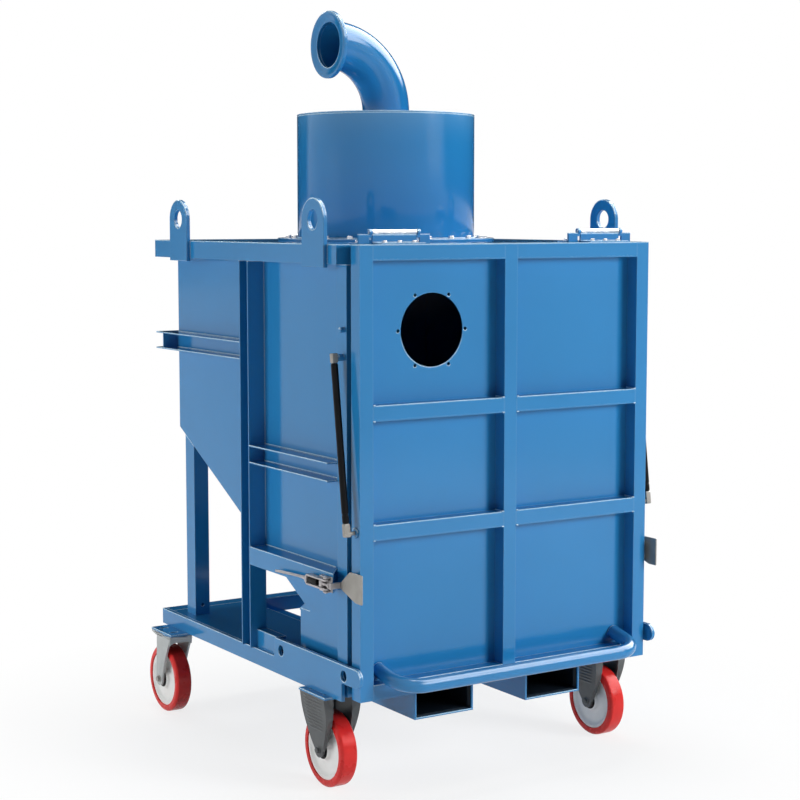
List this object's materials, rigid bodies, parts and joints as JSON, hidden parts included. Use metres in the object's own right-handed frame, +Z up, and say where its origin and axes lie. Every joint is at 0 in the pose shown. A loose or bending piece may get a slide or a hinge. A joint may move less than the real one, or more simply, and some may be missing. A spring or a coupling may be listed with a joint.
{
  "type": "mobile cyclone separator",
  "caption": "Blue steel cyclone separator: a hopper on castors with a top-hinged discharge door, side latches, gas springs, and a drum with a flanged outlet bend on its roof.",
  "frame": {"origin": "on the floor under the middle of the machine", "axes": "+Z up, the discharge door faces -Y, +X to the right as seen from the door"},
  "size_m": [1.066, 1.2579, 2.051],
  "materials": {
    "blue_paint": "gloss",
    "bright_steel": "satin",
    "zinc": "satin",
    "seal_rubber": "matte",
    "spring_black": "satin",
    "fork_grey": "satin",
    "fork_light": "satin",
    "hub_white": "satin",
    "tyre_red": "satin"
  },
  "bodies": {
    "hopper": {"base_rails": "blue_paint", "base_cross_members": "blue_paint", "fork_pockets": "blue_paint", "side_plates": "blue_paint", "deck_blocks": "blue_paint", "hopper_side_walls": "blue_paint", "hopper_rear_wall": "blue_paint", "hopper_floor": "blue_paint", "roof_plate": "blue_paint", "top_side_tubes": "blue_paint", "top_rear_tube": "blue_paint", "front_posts": "blue_paint", "front_rails": "blue_paint", "side_posts": "blue_paint", "rear_legs": "blue_paint", "side_stiffeners": "blue_paint", "rear_stiffener": "blue_paint", "latch_ledges": "blue_paint", "lifting_lugs": "blue_paint", "drum_flange": "blue_paint", "cyclone_drum": "blue_paint", "drum_lid": "blue_paint", "outlet_elbow": "blue_paint", "outlet_flange": "blue_paint", "door_seal": "seal_rubber", "hinge_brackets": "blue_paint", "hinge_pins": "bright_steel", "spring_studs": "bright_steel", "latch_bases": "zinc", "fixed_castor_forks": "fork_grey", "swivel_castor_plates": "fork_light"},
    "door": {"door_stiles": "blue_paint", "door_rails": "blue_paint", "door_panel": "blue_paint", "door_handle": "blue_paint", "hinge_leaves": "blue_paint", "hinge_barrels": "bright_steel", "spring_pads": "bright_steel", "keeper_plates": "zinc", "keeper_studs": "zinc"},
    "spring_tube_left": {"spring_tube_left": "spring_black"},
    "spring_rod_left": {"spring_rod_left": "bright_steel"},
    "latch_lever_left": {"latch_lever_left": "zinc"},
    "latch_rod_left": {"latch_rod_left": "zinc"},
    "swivel_fork_left": {"swivel_fork_left": "fork_light"},
    "brake_pedal_left": {"brake_pedal_left": "fork_light"},
    "spring_tube_right": {"spring_tube_right": "spring_black"},
    "spring_rod_right": {"spring_rod_right": "bright_steel"},
    "latch_lever_right": {"latch_lever_right": "zinc"},
    "latch_rod_right": {"latch_rod_right": "zinc"},
    "swivel_fork_right": {"swivel_fork_right": "fork_light"},
    "brake_pedal_right": {"brake_pedal_right": "fork_light"},
    "wheel_front_left": {"wheel_hub_front_left": "hub_white", "wheel_tyre_front_left": "tyre_red"},
    "wheel_front_right": {"wheel_hub_front_right": "hub_white", "wheel_tyre_front_right": "tyre_red"},
    "wheel_rear_left": {"wheel_hub_rear_left": "hub_white", "wheel_tyre_rear_left": "tyre_red"},
    "wheel_rear_right": {"wheel_hub_rear_right": "hub_white", "wheel_tyre_rear_right": "tyre_red"}
  },
  "joints": [
    {"name": "door_hinge", "type": "hinge", "parent": "hopper", "child": "door", "pos_m": [0, -0.484, 1.443], "axis": [-1, 0, 0], "range_deg": [0, 70]},
    {"name": "spring_swing_left", "type": "hinge", "parent": "hopper", "child": "spring_tube_left", "pos_m": [-0.488, -0.454, 1.131], "axis": [-1, 0, 0], "range_deg": [0, 90]},
    {"name": "spring_stroke_left", "type": "slide", "parent": "spring_tube_left", "child": "spring_rod_left", "axis": [0, -0.1338, -0.991], "range_m": [0, 0.31]},
    {"name": "spring_swing_right", "type": "hinge", "parent": "hopper", "child": "spring_tube_right", "pos_m": [0.488, -0.454, 1.131], "axis": [-1, 0, 0], "range_deg": [0, 90]},
    {"name": "spring_stroke_right", "type": "slide", "parent": "spring_tube_right", "child": "spring_rod_right", "axis": [0, -0.1338, -0.991], "range_m": [0, 0.31]},
    {"name": "latch_swing_left", "type": "hinge", "parent": "hopper", "child": "latch_lever_left", "pos_m": [-0.503, -0.436, 0.554], "axis": [0, 0, 1], "range_deg": [0, 90]},
    {"name": "latch_rod_turn_left", "type": "hinge", "parent": "latch_lever_left", "child": "latch_rod_left", "pos_m": [-0.503, -0.414, 0.554], "axis": [0, 0, 1], "range_deg": [-90, 0]},
    {"name": "latch_swing_right", "type": "hinge", "parent": "hopper", "child": "latch_lever_right", "pos_m": [0.503, -0.436, 0.554], "axis": [0, 0, -1], "range_deg": [0, 90]},
    {"name": "latch_rod_turn_right", "type": "hinge", "parent": "latch_lever_right", "child": "latch_rod_right", "pos_m": [0.503, -0.414, 0.554], "axis": [0, 0, -1], "range_deg": [-90, 0]},
    {"name": "castor_swivel_left", "type": "hinge", "parent": "hopper", "child": "swivel_fork_left", "pos_m": [-0.485, 0.486, 0.24], "axis": [0, 0, 1], "continuous": true},
    {"name": "brake_left", "type": "hinge", "parent": "swivel_fork_left", "child": "brake_pedal_left", "pos_m": [-0.485, 0.534, 0.2255], "axis": [-1, 0, 0], "range_deg": [0, 10]},
    {"name": "wheel_spin_rear_left", "type": "hinge", "parent": "swivel_fork_left", "child": "wheel_rear_left", "pos_m": [-0.485, 0.529, 0.1], "axis": [1, 0, 0], "continuous": true},
    {"name": "wheel_spin_front_left", "type": "hinge", "parent": "hopper", "child": "wheel_front_left", "pos_m": [-0.443, -0.354, 0.1], "axis": [1, 0, 0], "continuous": true},
    {"name": "castor_swivel_right", "type": "hinge", "parent": "hopper", "child": "swivel_fork_right", "pos_m": [0.485, 0.486, 0.24], "axis": [0, 0, 1], "continuous": true},
    {"name": "brake_right", "type": "hinge", "parent": "swivel_fork_right", "child": "brake_pedal_right", "pos_m": [0.485, 0.534, 0.2255], "axis": [-1, 0, 0], "range_deg": [0, 10]},
    {"name": "wheel_spin_rear_right", "type": "hinge", "parent": "swivel_fork_right", "child": "wheel_rear_right", "pos_m": [0.485, 0.529, 0.1], "axis": [1, 0, 0], "continuous": true},
    {"name": "wheel_spin_front_right", "type": "hinge", "parent": "hopper", "child": "wheel_front_right", "pos_m": [0.443, -0.354, 0.1], "axis": [1, 0, 0], "continuous": true}
  ],
  "couplings": [
    {"joint": "spring_swing_left", "follows": "door_hinge", "ratio": 1.2669},
    {"joint": "spring_stroke_left", "follows": "door_hinge", "m_per_rad": 0.25162},
    {"joint": "spring_swing_right", "follows": "door_hinge", "ratio": 1.2669},
    {"joint": "spring_stroke_right", "follows": "door_hinge", "m_per_rad": 0.25162},
    {"joint": "latch_rod_turn_left", "follows": "latch_swing_left", "ratio": -1},
    {"joint": "latch_rod_turn_right", "follows": "latch_swing_right", "ratio": -1}
  ]
}
